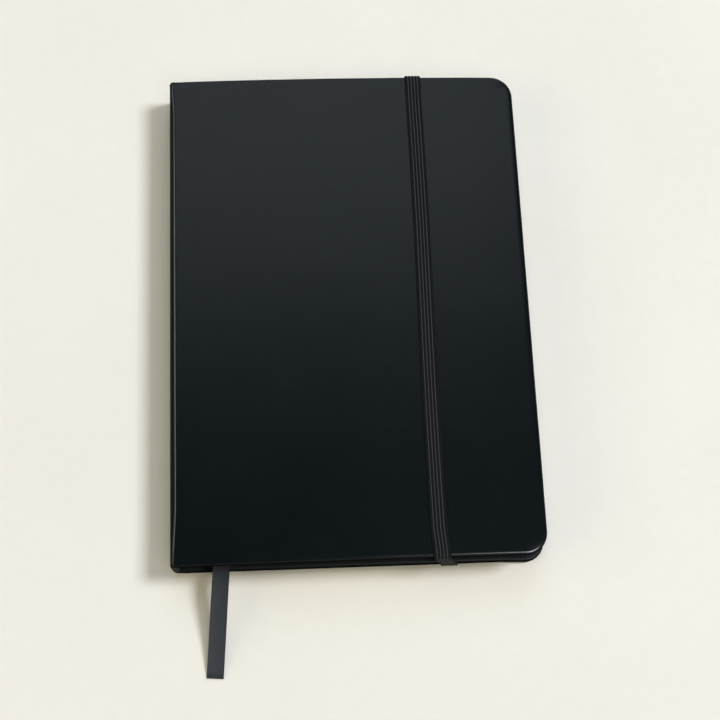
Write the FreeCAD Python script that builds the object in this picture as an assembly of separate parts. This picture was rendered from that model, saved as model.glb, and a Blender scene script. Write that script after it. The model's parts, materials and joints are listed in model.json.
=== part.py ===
import FreeCAD, Part
import math
import os
from FreeCAD import Vector

# Hardcover pocket notebook, A6, closed and lying on its back cover.
# Millimetres. +X runs from the spine to the fore edge, +Y from the tail to the head,
# +Z from the back cover to the front cover. The origin is the middle of the underside.

# ---- the case -------------------------------------------------------------------
cover_width = 105.0
cover_height = 148.0
book_thickness = 14.0
cover_corner_radius = 6.5
leatherette_thickness = 0.4
board_thickness = 1.85
turn_in_thickness = 0.25
turn_in_width = 12.0
pastedown_thickness = 0.15
pastedown_margin = 2.5
edge_rounding = 0.8
running_gap = 0.15

# ---- the pages ------------------------------------------------------------------
square = 3.0
page_corner_radius = 4.5
page_x_low = -50.5
section_count = 8
front_leaf_names = ["front_flyleaf", "leaf_1", "leaf_2", "leaf_3", "leaf_4"]
leaf_thickness = 0.16
leaf_gap = 0.03
leaf_setback = 0.9
sheet_gap = 0.02

# ---- the spine ------------------------------------------------------------------
spine_strip_thickness = 0.6
spine_turn_in_thickness = 0.2
spine_turn_in_length = 10.0
lining_thickness = 0.25
lining_end_margin = 5.0
thread_radius = 0.2
thread_stations = 5
thread_spread = 112.0
thread_pair_spacing = 1.6

# ---- the ribbon marker ----------------------------------------------------------
ribbon_width = 4.8
ribbon_thickness = 0.3
ribbon_channel_play = 0.3
ribbon_above_section = 7
ribbon_anchor_run = 5.0
ribbon_head_point = (-48.0, 62.0)
ribbon_exit_point = (-39.1, -71.0)
ribbon_end_point = (-41.9, -104.0)
ribbon_runs = [6.0, 6.5, 6.8, 7.0, 6.8]
ribbon_falls_deg = [4.0, 15.0, 21.0, 18.5, 16.0]
arc_share_of_run = 0.45

# ---- the elastic strap ----------------------------------------------------------
elastic_x = 21.65
elastic_tail_slant = 4.2
elastic_width = 4.8
elastic_thickness = 0.55
elastic_play = 0.05
elastic_under_run = 8.0
elastic_flap_length = 11.0

# ---- worked out from the above --------------------------------------------------
case_thickness = leatherette_thickness + board_thickness + turn_in_thickness
joint_radius = case_thickness / 2
x_spine = -cover_width / 2
x_fore = cover_width / 2
y_half = cover_height / 2
hinge_x = x_spine + joint_radius
back_hinge_z = joint_radius
board_x_low = hinge_x + joint_radius - leatherette_thickness
board_x_high = x_fore - leatherette_thickness
board_y_half = y_half - leatherette_thickness
board_z_low = leatherette_thickness
board_z_high = leatherette_thickness + board_thickness
inside_low = case_thickness + pastedown_thickness
inside_high = book_thickness - inside_low
page_x_high = x_fore - square
page_y_half = y_half - square
leaf_x_low = page_x_low + leaf_setback
leaf_pitch = leaf_thickness + leaf_gap
sections_z_low = inside_low + leaf_gap + leaf_pitch
sections_z_high = inside_high - leaf_gap - len(front_leaf_names) * leaf_pitch
section_pitch = (sections_z_high - sections_z_low) / section_count
spine_z_low = case_thickness + running_gap
spine_z_high = book_thickness - spine_z_low
spine_inner_x = x_spine + leatherette_thickness + spine_strip_thickness + spine_turn_in_thickness
ribbon_z = sections_z_low + ribbon_above_section * section_pitch - sheet_gap - ribbon_thickness / 2


def box(x_low, x_high, y_low, y_high, z_low, z_high):
    size = (x_high - x_low, y_high - y_low, z_high - z_low)
    return Part.makeBox(*size, Vector(x_low, y_low, z_low))


def sheet(x_low, x_high, half_height, corner_radius, z_low, z_high):
    """A flat sheet with square corners at the spine and round ones at the fore edge."""
    reach = corner_radius * math.sqrt(0.5)
    x_arc = x_high - corner_radius
    y_arc = half_height - corner_radius
    tail_mid = Vector(x_arc + reach, -y_arc - reach, z_low)
    head_mid = Vector(x_arc + reach, y_arc + reach, z_low)
    corners = [
        Vector(x_low, -half_height, z_low),
        Vector(x_arc, -half_height, z_low),
        Vector(x_high, -y_arc, z_low),
        Vector(x_high, y_arc, z_low),
        Vector(x_arc, half_height, z_low),
        Vector(x_low, half_height, z_low),
    ]
    edges = [
        Part.makeLine(corners[0], corners[1]),
        Part.Arc(corners[1], tail_mid, corners[2]).toShape(),
        Part.makeLine(corners[2], corners[3]),
        Part.Arc(corners[3], head_mid, corners[4]).toShape(),
        Part.makeLine(corners[4], corners[5]),
        Part.makeLine(corners[5], corners[0]),
    ]
    return Part.Face(Part.Wire(edges)).extrude(Vector(0, 0, z_high - z_low))


def y_rod(radius, x, z, half_length):
    return Part.makeCylinder(radius, 2 * half_length, Vector(x, -half_length, z), Vector(0, 1, 0))


def yz_prism(points, x_centre, width):
    """A prism along X from an outline of (y, z) points."""
    outline = [Vector(x_centre - width / 2, y, z) for y, z in points]
    return Part.Face(Part.makePolygon(outline + outline[:1])).extrude(Vector(width, 0, 0))


def to_front(shape):
    """The front cover's pieces are the back cover's, turned over in the middle plane."""
    return shape.mirror(Vector(0, 0, book_thickness / 2), Vector(0, 0, 1))


# ---- one cover, made as the back one --------------------------------------------
def cover_board():
    radius = cover_corner_radius - leatherette_thickness
    return sheet(board_x_low, board_x_high, board_y_half, radius, board_z_low, board_z_high)


def cover_leatherette():
    """The leatherette round one board, with its turn-ins and a rolled edge on the hinge line."""
    slab = sheet(hinge_x, x_fore, y_half, cover_corner_radius, 0, case_thickness)
    at_spine = [e for e in slab.Edges if e.BoundBox.XMax < hinge_x + edge_rounding]
    upright = [e for e in slab.Edges if e.BoundBox.ZLength > edge_rounding]
    kept = {e.hashCode() for e in at_spine + upright}
    slab = slab.makeFillet(edge_rounding, [e for e in slab.Edges if e.hashCode() not in kept])
    roll = y_rod(joint_radius, hinge_x, back_hinge_z, y_half)
    ends = [e for e in roll.Edges if e.BoundBox.YLength < edge_rounding]
    roll = roll.makeFillet(edge_rounding, ends)
    window_x_high = x_fore - turn_in_width
    window_y_half = y_half - turn_in_width
    window = box(board_x_low, window_x_high, -window_y_half, window_y_half, board_z_high, case_thickness)
    return slab.fuse(roll).cut(cover_board()).cut(window)


def cover_pastedown():
    """The endpaper half glued to the board: it steps down inside the turn-ins."""
    x_low = hinge_x + joint_radius
    x_high = x_fore - pastedown_margin
    radius = cover_corner_radius - pastedown_margin
    over = sheet(x_low, x_high, y_half - pastedown_margin, radius, case_thickness, inside_low)
    window_x_high = x_fore - turn_in_width
    window_y_half = y_half - turn_in_width
    step = box(x_low, window_x_high, -window_y_half, window_y_half, board_z_high, inside_low)
    dip_x_high = window_x_high - pastedown_thickness
    dip_y_half = window_y_half - pastedown_thickness
    dip_z = board_z_high + pastedown_thickness
    dip = box(x_low, dip_x_high, -dip_y_half, dip_y_half, dip_z, inside_low)
    return over.fuse(step).cut(dip).removeSplitter()


# ---- the elastic strap ----------------------------------------------------------
def elastic_anchor(x_centre, end):
    """A strap end: under the back cover, up through its slit and glued inside the board."""
    outside = y_half + elastic_play + elastic_thickness
    slit = y_half - elastic_under_run
    low = elastic_play
    low_top = low + elastic_thickness
    flap_low = board_z_high - elastic_thickness
    outline = [
        (outside, low),
        (outside, low_top),
        (slit, low_top),
        (slit, board_z_high),
        (slit - elastic_flap_length, board_z_high),
        (slit - elastic_flap_length, flap_low),
        (slit - elastic_thickness, flap_low),
        (slit - elastic_thickness, low),
    ]
    return yz_prism([(end * y, z) for y, z in outline], x_centre, elastic_width)


def elastic_slot(x_centre, end):
    """The room that a strap end takes from the leatherette and the board, open below."""
    below = box(
        x_centre - elastic_width / 2,
        x_centre + elastic_width / 2,
        min(end * (y_half - elastic_under_run - elastic_thickness), end * (y_half + square)),
        max(end * (y_half - elastic_under_run - elastic_thickness), end * (y_half + square)),
        -elastic_play,
        elastic_play + elastic_thickness,
    )
    return elastic_anchor(x_centre, end).fuse(below)


def elastic_front_span():
    low = book_thickness + elastic_play
    reach = y_half + elastic_play
    half_width = elastic_width / 2
    return box(elastic_x - half_width, elastic_x + half_width, -reach, reach, low, low + elastic_thickness)


def elastic_wrap(end, slant):
    """The strap's short run down one edge of the closed book."""
    z_low = elastic_play + elastic_thickness
    z_high = book_thickness + elastic_play + elastic_thickness
    half_width = elastic_width / 2
    y_inner = end * (y_half + elastic_play)
    top = elastic_x
    foot = elastic_x + slant
    outline = [
        Vector(foot - half_width, y_inner, z_low),
        Vector(foot + half_width, y_inner, z_low),
        Vector(top + half_width, y_inner, z_high),
        Vector(top - half_width, y_inner, z_high),
    ]
    face = Part.Face(Part.makePolygon(outline + outline[:1]))
    return face.extrude(Vector(0, end * elastic_thickness, 0))


# ---- the ribbon marker ----------------------------------------------------------
def ribbon_frame():
    """The ribbon's direction over the table, and the level direction across it."""
    ahead = Vector(*ribbon_end_point, 0) - Vector(*ribbon_exit_point, 0)
    ahead.normalize()
    return ahead, Vector(-ahead.y, ahead.x, 0)


def ribbon_route():
    """Points of the free end as (distance from the pages, height), by runs and falls."""
    route = [(0.0, ribbon_z)]
    for run, fall in zip(ribbon_runs, ribbon_falls_deg):
        distance, height = route[-1]
        route.append((distance + run, height - run * math.tan(math.radians(fall))))
    return route


def ribbon_side(route, offset):
    """Straight runs joined by tangent arcs, moved by offset square to the ribbon."""
    points = [Vector(distance, 0, height) for distance, height in route]
    runs = [after - before for before, after in zip(points, points[1:])]
    ways = [run / run.Length for run in runs]
    normals = [Vector(-way.z, 0, way.x) for way in ways]
    edges = []
    start = points[0] + normals[0] * offset
    for i in range(1, len(runs)):
        half_turn = ways[i - 1].getAngle(ways[i]) / 2
        tangent = arc_share_of_run * min(runs[i - 1].Length, runs[i].Length)
        radius = tangent / math.tan(half_turn)
        bisector = normals[i - 1] + normals[i]
        bisector.normalize()
        side = 1 if ways[i - 1].cross(ways[i]).y > 0 else -1
        inside = radius / math.cos(half_turn) - radius
        arc_start = points[i] - ways[i - 1] * tangent + normals[i - 1] * offset
        arc_mid = points[i] - bisector * (side * inside) + bisector * offset
        arc_end = points[i] + ways[i] * tangent + normals[i] * offset
        edges.append(Part.LineSegment(start, arc_start).toShape())
        edges.append(Part.Arc(arc_start, arc_mid, arc_end).toShape())
        start = arc_end
    edges.append(Part.LineSegment(start, points[-1] + normals[-1] * offset).toShape())
    return edges


def report_ribbon(route, solid):
    """Print the bend radii, and the solid's volume against its section times its length."""
    middle = ribbon_side(route, 0)
    length = sum(edge.Length for edge in middle)
    radii = [round(edge.Curve.Radius, 1) for edge in middle if hasattr(edge.Curve, "Radius")]
    print("ribbon radii", radii, "length", round(length, 2))
    print("ribbon volume", round(solid.Volume, 3), "of", round(length * ribbon_width * ribbon_thickness, 3))


def ribbon_tail():
    """The free end: out of the pages at the tail, down to the table."""
    route = ribbon_route()
    upper = ribbon_side(route, ribbon_thickness / 2)
    lower = ribbon_side(route, -ribbon_thickness / 2)
    first = Part.makeLine(lower[0].Vertexes[0].Point, upper[0].Vertexes[0].Point)
    last = Part.makeLine(upper[-1].Vertexes[-1].Point, lower[-1].Vertexes[-1].Point)
    profile = Part.Face(Part.Wire(Part.__sortEdges__(upper + lower + [first, last])))
    strip = profile.extrude(Vector(0, ribbon_width, 0))
    strip.translate(Vector(0, -ribbon_width / 2, 0))
    ahead, _ = ribbon_frame()
    strip.rotate(Vector(0, 0, 0), Vector(0, 0, 1), math.degrees(math.atan2(ahead.y, ahead.x)))
    strip.translate(Vector(*ribbon_exit_point, 0))
    report_ribbon(route, strip)
    return strip


def ribbon_strip(half_width, overrun, z_low, z_high):
    """A strip between the pages, from the head of the spine to the tail edge, and overrun past it."""
    ahead, across = ribbon_frame()
    head = Vector(*ribbon_head_point, z_low)
    tail = Vector(*ribbon_exit_point, z_low)
    outline = [Vector(page_x_low, head.y - half_width, z_low), tail - across * half_width]
    if overrun:
        outline.append(tail - across * half_width + ahead * overrun)
        outline.append(tail + across * half_width + ahead * overrun)
    outline.append(tail + across * half_width)
    outline.append(head + Vector(half_width, half_width, 0))
    outline.append(Vector(page_x_low, head.y + half_width, z_low))
    return Part.Face(Part.makePolygon(outline + outline[:1])).extrude(Vector(0, 0, z_high - z_low))


def ribbon_inner():
    half = ribbon_thickness / 2
    return ribbon_strip(ribbon_width / 2, 0, ribbon_z - half, ribbon_z + half)


def ribbon_channel():
    half = ribbon_thickness / 2
    half_width = (ribbon_width + ribbon_channel_play) / 2
    return ribbon_strip(half_width, square, ribbon_z - half, ribbon_z + section_pitch)


def ribbon_anchor():
    """The ribbon's upper end, glued down the back of the sections under the lining."""
    x_low = spine_inner_x + sheet_gap + lining_thickness
    y_high = ribbon_head_point[1] + ribbon_width / 2
    z_high = ribbon_z + ribbon_thickness / 2
    return box(x_low, page_x_low, y_high - ribbon_width, y_high, z_high - ribbon_anchor_run, z_high)


# ---- the pages ------------------------------------------------------------------
def page_sheet(z_low, z_high, x_low):
    return sheet(x_low, page_x_high, page_y_half, page_corner_radius, z_low, z_high)


def section(index):
    """One folded and sewn section, with its round fold at the spine."""
    z_low = sections_z_low + index * section_pitch
    z_high = z_low + section_pitch - sheet_gap
    fold_radius = (z_high - z_low) / 2
    fold = y_rod(fold_radius, page_x_low + fold_radius, z_low + fold_radius, page_y_half)
    return page_sheet(z_low, z_high, page_x_low + fold_radius).fuse(fold).removeSplitter()


def turning_leaf(z_low):
    return page_sheet(z_low, z_low + leaf_thickness, leaf_x_low)


def sewing_threads():
    """Pairs of link stitches down the folds, in line with each sewing station."""
    x = page_x_low - thread_radius - sheet_gap
    height = sections_z_high - sections_z_low - 2 * sheet_gap
    rods = []
    for station in range(thread_stations):
        y_station = -thread_spread / 2 + station * thread_spread / (thread_stations - 1)
        for side in (-1, 1):
            foot = Vector(x, y_station + side * thread_pair_spacing / 2, sections_z_low)
            rods.append(Part.makeCylinder(thread_radius, height, foot))
    return Part.makeCompound(rods)


# ---- the spine ------------------------------------------------------------------
def spine_lining():
    x_low = spine_inner_x + sheet_gap
    reach = page_y_half - lining_end_margin
    return box(x_low, x_low + lining_thickness, -reach, reach, spine_z_low, spine_z_high)


def spine_strip():
    x_low = x_spine + leatherette_thickness
    x_high = x_low + spine_strip_thickness
    return box(x_low, x_high, -board_y_half, board_y_half, spine_z_low, spine_z_high)


def spine_leatherette():
    """The leatherette over the spine strip, turned in at the head and tail."""
    whole = box(x_spine, spine_inner_x, -y_half, y_half, spine_z_low, spine_z_high)
    reach = y_half - spine_turn_in_length
    inner_x = spine_inner_x - spine_turn_in_thickness
    middle = box(inner_x, spine_inner_x, -reach, reach, spine_z_low, spine_z_high)
    return whole.cut(spine_strip()).cut(middle)


# ---- all the pieces -------------------------------------------------------------
def build():
    parts = {}
    slots = elastic_slot(elastic_x, 1).fuse(elastic_slot(elastic_x + elastic_tail_slant, -1))
    parts["back_leatherette"] = cover_leatherette().cut(slots)
    parts["back_board"] = cover_board().cut(slots)
    parts["back_pastedown"] = cover_pastedown()
    parts["front_leatherette"] = to_front(cover_leatherette())
    parts["front_board"] = to_front(cover_board())
    parts["front_pastedown"] = to_front(cover_pastedown())
    parts["elastic_head_anchor"] = elastic_anchor(elastic_x, 1)
    parts["elastic_tail_anchor"] = elastic_anchor(elastic_x + elastic_tail_slant, -1)
    parts["elastic_front_span"] = elastic_front_span()
    parts["elastic_head_wrap"] = elastic_wrap(1, 0)
    parts["elastic_tail_wrap"] = elastic_wrap(-1, elastic_tail_slant)
    parts["spine_leatherette"] = spine_leatherette()
    parts["spine_strip"] = spine_strip()
    parts["spine_lining"] = spine_lining()
    parts["sewing_threads"] = sewing_threads()
    parts["back_flyleaf"] = turning_leaf(inside_low + leaf_gap)
    for number, name in enumerate(front_leaf_names, start=1):
        parts[name] = turning_leaf(inside_high - number * leaf_pitch)
    channel = ribbon_channel()
    for index in range(section_count):
        shape = section(index)
        if index + 1 == ribbon_above_section:
            shape = shape.cut(channel)
        parts[f"section_{index + 1}"] = shape
    parts["ribbon_anchor"] = ribbon_anchor()
    parts["ribbon_inner"] = ribbon_inner()
    parts["ribbon_tail"] = ribbon_tail()
    return parts


os.makedirs("parts", exist_ok=True)
for name, shape in build().items():
    shape.exportStep(f"parts/{name}.step")
    print(name, shape.isValid(), len(shape.Solids), "solids", round(shape.Volume, 2), "mm3")
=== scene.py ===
# %% [markdown]
# # A pocket notebook
#
# This is a square-backed A6 notebook: two boards and a spine strip wrapped in black leatherette, a sewn
# block of cream pages, an elastic strap that keeps it shut and a ribbon that marks the page. The CAD model
# already holds the sizes, the hinges and every hidden part. Here the book gets what a maker's hands give
# it: rolled and turned-in edges, a cover that has warped a little, woven and knitted bands, and paper.
#
# We load the CAD frame first, because every piece below takes its place from it. The frame is in metres, so
# one millimetre is given a name as well.

# %% Load the frame
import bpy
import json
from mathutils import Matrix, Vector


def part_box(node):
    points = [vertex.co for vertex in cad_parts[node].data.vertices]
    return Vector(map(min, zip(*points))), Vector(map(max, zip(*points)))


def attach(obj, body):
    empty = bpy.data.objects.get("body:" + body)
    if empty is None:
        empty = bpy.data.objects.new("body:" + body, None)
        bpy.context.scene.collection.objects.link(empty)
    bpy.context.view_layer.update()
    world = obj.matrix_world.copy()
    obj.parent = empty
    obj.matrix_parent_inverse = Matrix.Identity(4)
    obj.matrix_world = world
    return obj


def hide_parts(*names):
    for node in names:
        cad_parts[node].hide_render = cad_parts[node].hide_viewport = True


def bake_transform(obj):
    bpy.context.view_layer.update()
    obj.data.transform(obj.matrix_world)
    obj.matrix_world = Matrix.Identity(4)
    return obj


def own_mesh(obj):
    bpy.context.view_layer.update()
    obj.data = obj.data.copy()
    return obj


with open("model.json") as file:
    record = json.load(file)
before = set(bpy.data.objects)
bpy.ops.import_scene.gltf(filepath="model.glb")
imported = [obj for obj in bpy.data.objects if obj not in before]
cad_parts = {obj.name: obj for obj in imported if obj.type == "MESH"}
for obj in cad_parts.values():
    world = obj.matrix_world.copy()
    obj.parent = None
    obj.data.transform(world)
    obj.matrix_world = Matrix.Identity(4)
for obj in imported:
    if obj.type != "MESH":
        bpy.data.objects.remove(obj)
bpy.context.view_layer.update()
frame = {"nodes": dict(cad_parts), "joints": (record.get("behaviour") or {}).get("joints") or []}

# %% Modules and the unit
import json
import math

import bmesh
import bpy
from mathutils import Quaternion, Vector

MM = 0.001
ALONG_X, ALONG_Y, ALONG_Z = 0, 1, 2

# %% [markdown]
# ## Floor, light and camera
#
# A black book is hard to light: its shape shows only in what it mirrors. A key light at the right gives the
# short soft shadow, and is itself kept out of the mirror. A wide panel beyond the head is mirrored by the
# cover, which fades from dark at the tail to a soft grey at the head. Two small panels only draw the bright
# lines on the rolled tail edge and along the joint, and light nothing else. Two warm fills keep the shadows
# light. One strong lamp would be simpler, but the cover would mirror it as a single hard spot.

# %% A pale floor
floor_radius = 3
bpy.ops.object.select_all(action="DESELECT")
bpy.ops.mesh.primitive_circle_add(vertices=128, radius=floor_radius, fill_type="NGON", location=(0, 0, 0))
floor = bpy.context.object
floor.name = "floor"


# %% The lights
def add_panel(name, towards, distance, size, power, tint):
    """A square light panel that faces the book. Its size and distance are in metres, its power in watts."""
    place = Vector(towards).normalized() * distance
    bpy.ops.object.light_add(type="AREA", location=place)
    panel = bpy.context.object
    panel.name = name
    panel.rotation_mode = "QUATERNION"
    panel.rotation_quaternion = (-place).to_track_quat("-Z", "Y")
    panel.data.shape = "SQUARE"
    panel.data.size = size
    panel.data.energy = power
    panel.data.color = tint
    return panel


key_height = math.radians(56)
key_towards = (math.cos(key_height), 0.12, math.sin(key_height))
key_light = add_panel("key_light", key_towards, 4.0, 1.05, 115, (0.97, 0.98, 1.0))
add_panel("head_panel", (0.0, 0.62, 0.78), 3.6, 2.5, 36, (0.82, 0.89, 0.98))
edge_panel = add_panel("edge_panel", (0.42, -0.42, 0.80), 4.0, 1.5, 190, (0.94, 0.98, 1.0))
tail_fill = add_panel("tail_fill", (0.1, -0.55, 0.83), 4.2, 2.1, 30, (1.0, 0.90, 0.65))
add_panel("spine_fill", (-0.9, -0.2, 0.5), 4.2, 3.3, 60, (1.0, 0.86, 0.50))
joint_panel = add_panel("joint_panel", (-0.72, 0.31, 0.62), 4.0, 1.3, 45, (0.94, 0.98, 1.0))
for unmirrored in (key_light, tail_fill):
    unmirrored.visible_glossy = False
for only_mirrored in (edge_panel, joint_panel):
    only_mirrored.visible_diffuse = False

# %% A room that is pale at the horizon and dark overhead
horizon_colour = (0.80, 0.775, 0.71, 1)
overhead_colour = (0.020, 0.028, 0.034, 1)
dark_above = 0.5
world = bpy.data.worlds.new("pale_room")
bpy.context.scene.world = world
world.use_nodes = True
room_nodes = world.node_tree.nodes
room_links = world.node_tree.links
direction = room_nodes.new("ShaderNodeTexCoord")
height = room_nodes.new("ShaderNodeSeparateXYZ")
fade = room_nodes.new("ShaderNodeMapRange")
fade.interpolation_type = "SMOOTHSTEP"
fade.inputs["From Max"].default_value = dark_above
room_colour = room_nodes.new("ShaderNodeMix")
room_colour.data_type = "RGBA"
mix_share, mix_first, mix_second, mix_result = 0, 6, 7, 2
room_colour.inputs[mix_first].default_value = horizon_colour
room_colour.inputs[mix_second].default_value = overhead_colour
room_links.new(direction.outputs["Generated"], height.inputs[0])
room_links.new(height.outputs["Z"], fade.inputs["Value"])
room_links.new(fade.outputs[0], room_colour.inputs[mix_share])
room_links.new(room_colour.outputs[mix_result], room_nodes["Background"].inputs["Color"])
bpy.context.scene.view_settings.view_transform = "Standard"

# %% The camera
camera_place = Vector((-22.85, -125.54, 386.1)) * MM
camera_aim = Vector((2.15, -14.2, 7.0)) * MM
camera_roll = math.radians(10.67)
bpy.ops.object.camera_add(location=camera_place)
camera = bpy.context.object
camera.name = "camera"
camera.data.lens = 66.93
camera.data.sensor_width = 36
camera.rotation_mode = "QUATERNION"
level = (camera_aim - camera_place).to_track_quat("-Z", "Y")
camera.rotation_quaternion = level @ Quaternion((0, 0, 1), camera_roll)
bpy.context.scene.camera = camera
print("camera to book, mm:", round((camera_aim - camera_place).length / MM))

# %% [markdown]
# ## Ribbon marker
#
# The ribbon is a flat woven cord. It comes out between the pages, passes under the cover's edge and falls
# in one long easy ramp to the table. A curve with a round bevel would make a cord of it. So its route is a
# smooth spline with a few control points, and the woven strip is built on points read from that spline: a
# flat section with a thicker woven edge on each side, a slight hollow across, and a pinched line just
# before the cut end, where heat has sealed it.

# %% The ribbon's route
ribbon_route = [
    (-39.1, -71.0, 9.262),
    (-39.607, -76.979, 8.843),
    (-40.157, -83.455, 7.101),
    (-40.732, -90.231, 4.491),
    (-41.323, -97.206, 2.149),
    (-41.898, -103.982, 0.199),
]
ribbon_width = 4.8 * MM
ribbon_thickness = 0.3 * MM


def points_along(name, control_points):
    """The points that a smooth spline passes, from its control points in millimetres."""
    curve = bpy.data.curves.new(name, "CURVE")
    curve.dimensions = "3D"
    curve.resolution_u = 16
    spline = curve.splines.new("NURBS")
    spline.points.add(len(control_points) - 1)
    for point, place in zip(spline.points, control_points):
        point.co = (*(Vector(place) * MM), 1)
    spline.order_u = 3
    spline.use_endpoint_u = True
    guide = bpy.data.objects.new(name, curve)
    read = bpy.data.meshes.new_from_object(guide)
    points = [vertex.co.copy() for vertex in read.vertices]
    bpy.data.objects.remove(guide)
    bpy.data.curves.remove(curve)
    bpy.data.meshes.remove(read)
    return points


ribbon_points = points_along("ribbon_guide", ribbon_route)
ribbon_length = sum((b - a).length for a, b in zip(ribbon_points, ribbon_points[1:]))
print("ribbon:", len(ribbon_points), "points,", round(ribbon_length / MM, 2), "mm")

# %% The woven strip
woven_edge = 0.35 * MM
edge_swell = 0.03 * MM
hollow = 0.10 * MM
hollow_ends_within = 6 * MM
seal_from_end = 1.3 * MM
seal_pinch = 0.07 * MM
seal_width = 0.25 * MM
# Places across the ribbon, from -1 to 1, and the half thickness there as a share of the whole.
woven_inner = 1 - 2 * woven_edge / ribbon_width
ribbon_section = [(-1, 0.0), (-0.97, 1.0), (-woven_inner, 1.0), (-0.84, 0.9), (-0.4, 0.9), (0, 0.9)]
ribbon_section += [(-across, share) for across, share in reversed(ribbon_section[:-1])]


def ribbon_row(point, ahead, left_over):
    """One ring of points round the ribbon's section."""
    side = Vector((-ahead.y, ahead.x, 0)).normalized()
    up = ahead.cross(side).normalized()
    if up.z < 0:
        up = -up
    half = ribbon_thickness / 2 + edge_swell
    half -= seal_pinch * math.exp(-(((left_over - seal_from_end) / seal_width) ** 2))
    ring = []
    for face in (1, -1):
        for across, share in ribbon_section[1:-1][::face]:
            lift = hollow * (across**2 - 0.5) * min(1, left_over / hollow_ends_within)
            ring.append(point + side * (across * ribbon_width / 2) + up * (face * share * half + lift))
        ring.append(point + side * (face * ribbon_width / 2))
    return ring


def build_ribbon(name, points):
    """A closed strip along the points, with a UV map in ribbon widths and millimetres along."""
    strip = bmesh.new()
    uv_map = strip.loops.layers.uv.new("weave")
    rings, places = [], []
    gone = 0
    for index, point in enumerate(points):
        before = points[max(index - 1, 0)]
        after = points[min(index + 1, len(points) - 1)]
        gone += (point - before).length
        row = ribbon_row(point, after - before, ribbon_length - gone)
        rings.append([strip.verts.new(co) for co in row])
        places.append(gone / MM)
    count = len(rings[0])
    across = [x for x, _ in ribbon_section[1:-1]] + [1] + [x for x, _ in ribbon_section[1:-1][::-1]] + [-1]
    for row in range(len(rings) - 1):
        for i in range(count):
            j = (i + 1) % count
            corners = [(row, i), (row, j), (row + 1, j), (row + 1, i)]
            face = strip.faces.new([rings[r][k] for r, k in corners])
            for loop, (r, k) in zip(face.loops, corners):
                loop[uv_map].uv = (across[k], places[r])
    for ring in (rings[0], rings[-1]):
        strip.faces.new(ring)
    bmesh.ops.recalc_face_normals(strip, faces=strip.faces)
    mesh = bpy.data.meshes.new(name)
    strip.to_mesh(mesh)
    strip.free()
    ribbon = bpy.data.objects.new(name, mesh)
    bpy.context.scene.collection.objects.link(ribbon)
    return ribbon


ribbon_marker = build_ribbon("ribbon_marker", ribbon_points)
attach(ribbon_marker, "book_block")
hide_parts("ribbon_tail")
print("ribbon_marker:", len(ribbon_marker.data.polygons), "faces")


# %% [markdown]
# ## Hand tools for the mesh work
#
# All the other pieces start as a plain block at their CAD place and are shaped in edit mode, as one would
# by hand. The meshes could also be written point by point, but then no one could tell how they were shaped.
# Working in code, the only difference is that edges and faces are picked by a question about where they
# are, instead of by a click.

# %% Start a block, open and close edit mode
def new_block(name, low, high):
    """A block between two corners, with its place in its mesh."""
    bpy.ops.object.select_all(action="DESELECT")
    bpy.ops.mesh.primitive_cube_add(size=1, location=(low + high) / 2, scale=high - low)
    piece = bpy.context.object
    piece.name = name
    piece.data.name = name
    bpy.ops.object.transform_apply(location=True, rotation=True, scale=True)
    return piece


def select_only(piece):
    bpy.ops.object.select_all(action="DESELECT")
    piece.select_set(True)
    bpy.context.view_layer.objects.active = piece


def start_edit(piece):
    select_only(piece)
    bpy.ops.object.mode_set(mode="EDIT")


def stop_edit():
    bpy.ops.object.mode_set(mode="OBJECT")


# %% Pick parts of the mesh by their place
def pick(kind, question):
    """Select only the vertices, edges or faces for which the question says yes."""
    bpy.ops.mesh.select_mode(type=kind)
    bpy.ops.mesh.select_all(action="DESELECT")
    mesh = bpy.context.object.data
    shape = bmesh.from_edit_mesh(mesh)
    shape.normal_update()
    parts = {"VERT": shape.verts, "EDGE": shape.edges, "FACE": shape.faces}[kind]
    chosen = [part for part in parts if question(part)]
    for part in chosen:
        part.select_set(True)
    shape.select_flush_mode()
    bmesh.update_edit_mesh(mesh)
    return len(chosen)


def middle_of(edge):
    return (edge.verts[0].co + edge.verts[1].co) / 2


def runs_along(edge, axis):
    run = edge.verts[1].co - edge.verts[0].co
    return abs(run[axis]) > 0.999 * run.length


def same_place(a, b):
    return abs(a - b) < 0.01 * MM


def edges_at_x(axis, x):
    """The question whether an edge runs along an axis at this x."""
    return lambda edge: runs_along(edge, axis) and same_place(middle_of(edge).x, x)


# %% Cut a mesh across, round some edges, merge what has met
def cut_across(axis, places):
    """Cut right through the mesh being edited with planes square to an axis."""
    for place in places:
        on_plane = Vector((0, 0, 0))
        on_plane[axis] = place
        normal = Vector((0, 0, 0))
        normal[axis] = 1
        bpy.ops.mesh.select_all(action="SELECT")
        bpy.ops.mesh.bisect(plane_co=on_plane, plane_no=normal)


def round_edges(question, radius, segments):
    count = pick("EDGE", question)
    bpy.ops.mesh.bevel(offset=radius, segments=segments, profile=0.5, affect="EDGES", clamp_overlap=False)
    return count


def merge_met():
    bpy.ops.mesh.select_all(action="SELECT")
    bpy.ops.mesh.remove_doubles(threshold=0.001 * MM)


def steps_between(start, stop, step):
    """Evenly spaced places from start to stop, about a step apart."""
    count = max(1, round(abs(stop - start) / step))
    return [start + (stop - start) * i / count for i in range(count + 1)]


# %% Apply a modifier, smooth the shading
def add_and_apply(piece, kind, **settings):
    """Give the piece one modifier and make it part of the mesh."""
    modifier = piece.modifiers.new(kind.lower(), kind)
    for setting, value in settings.items():
        setattr(modifier, setting, value)
    select_only(piece)
    bpy.ops.object.modifier_apply(modifier=modifier.name)


def shade_soft(piece, angle=35):
    select_only(piece)
    bpy.ops.object.shade_smooth_by_angle(angle=math.radians(angle))


# %% Put a piece in the place of a CAD node
def stand_in(piece, body, node):
    """The piece moves with the body and hides the node."""
    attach(piece, body)
    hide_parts(node)
    print(piece.name, "for", node, "-", len(piece.data.polygons), "faces")


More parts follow.
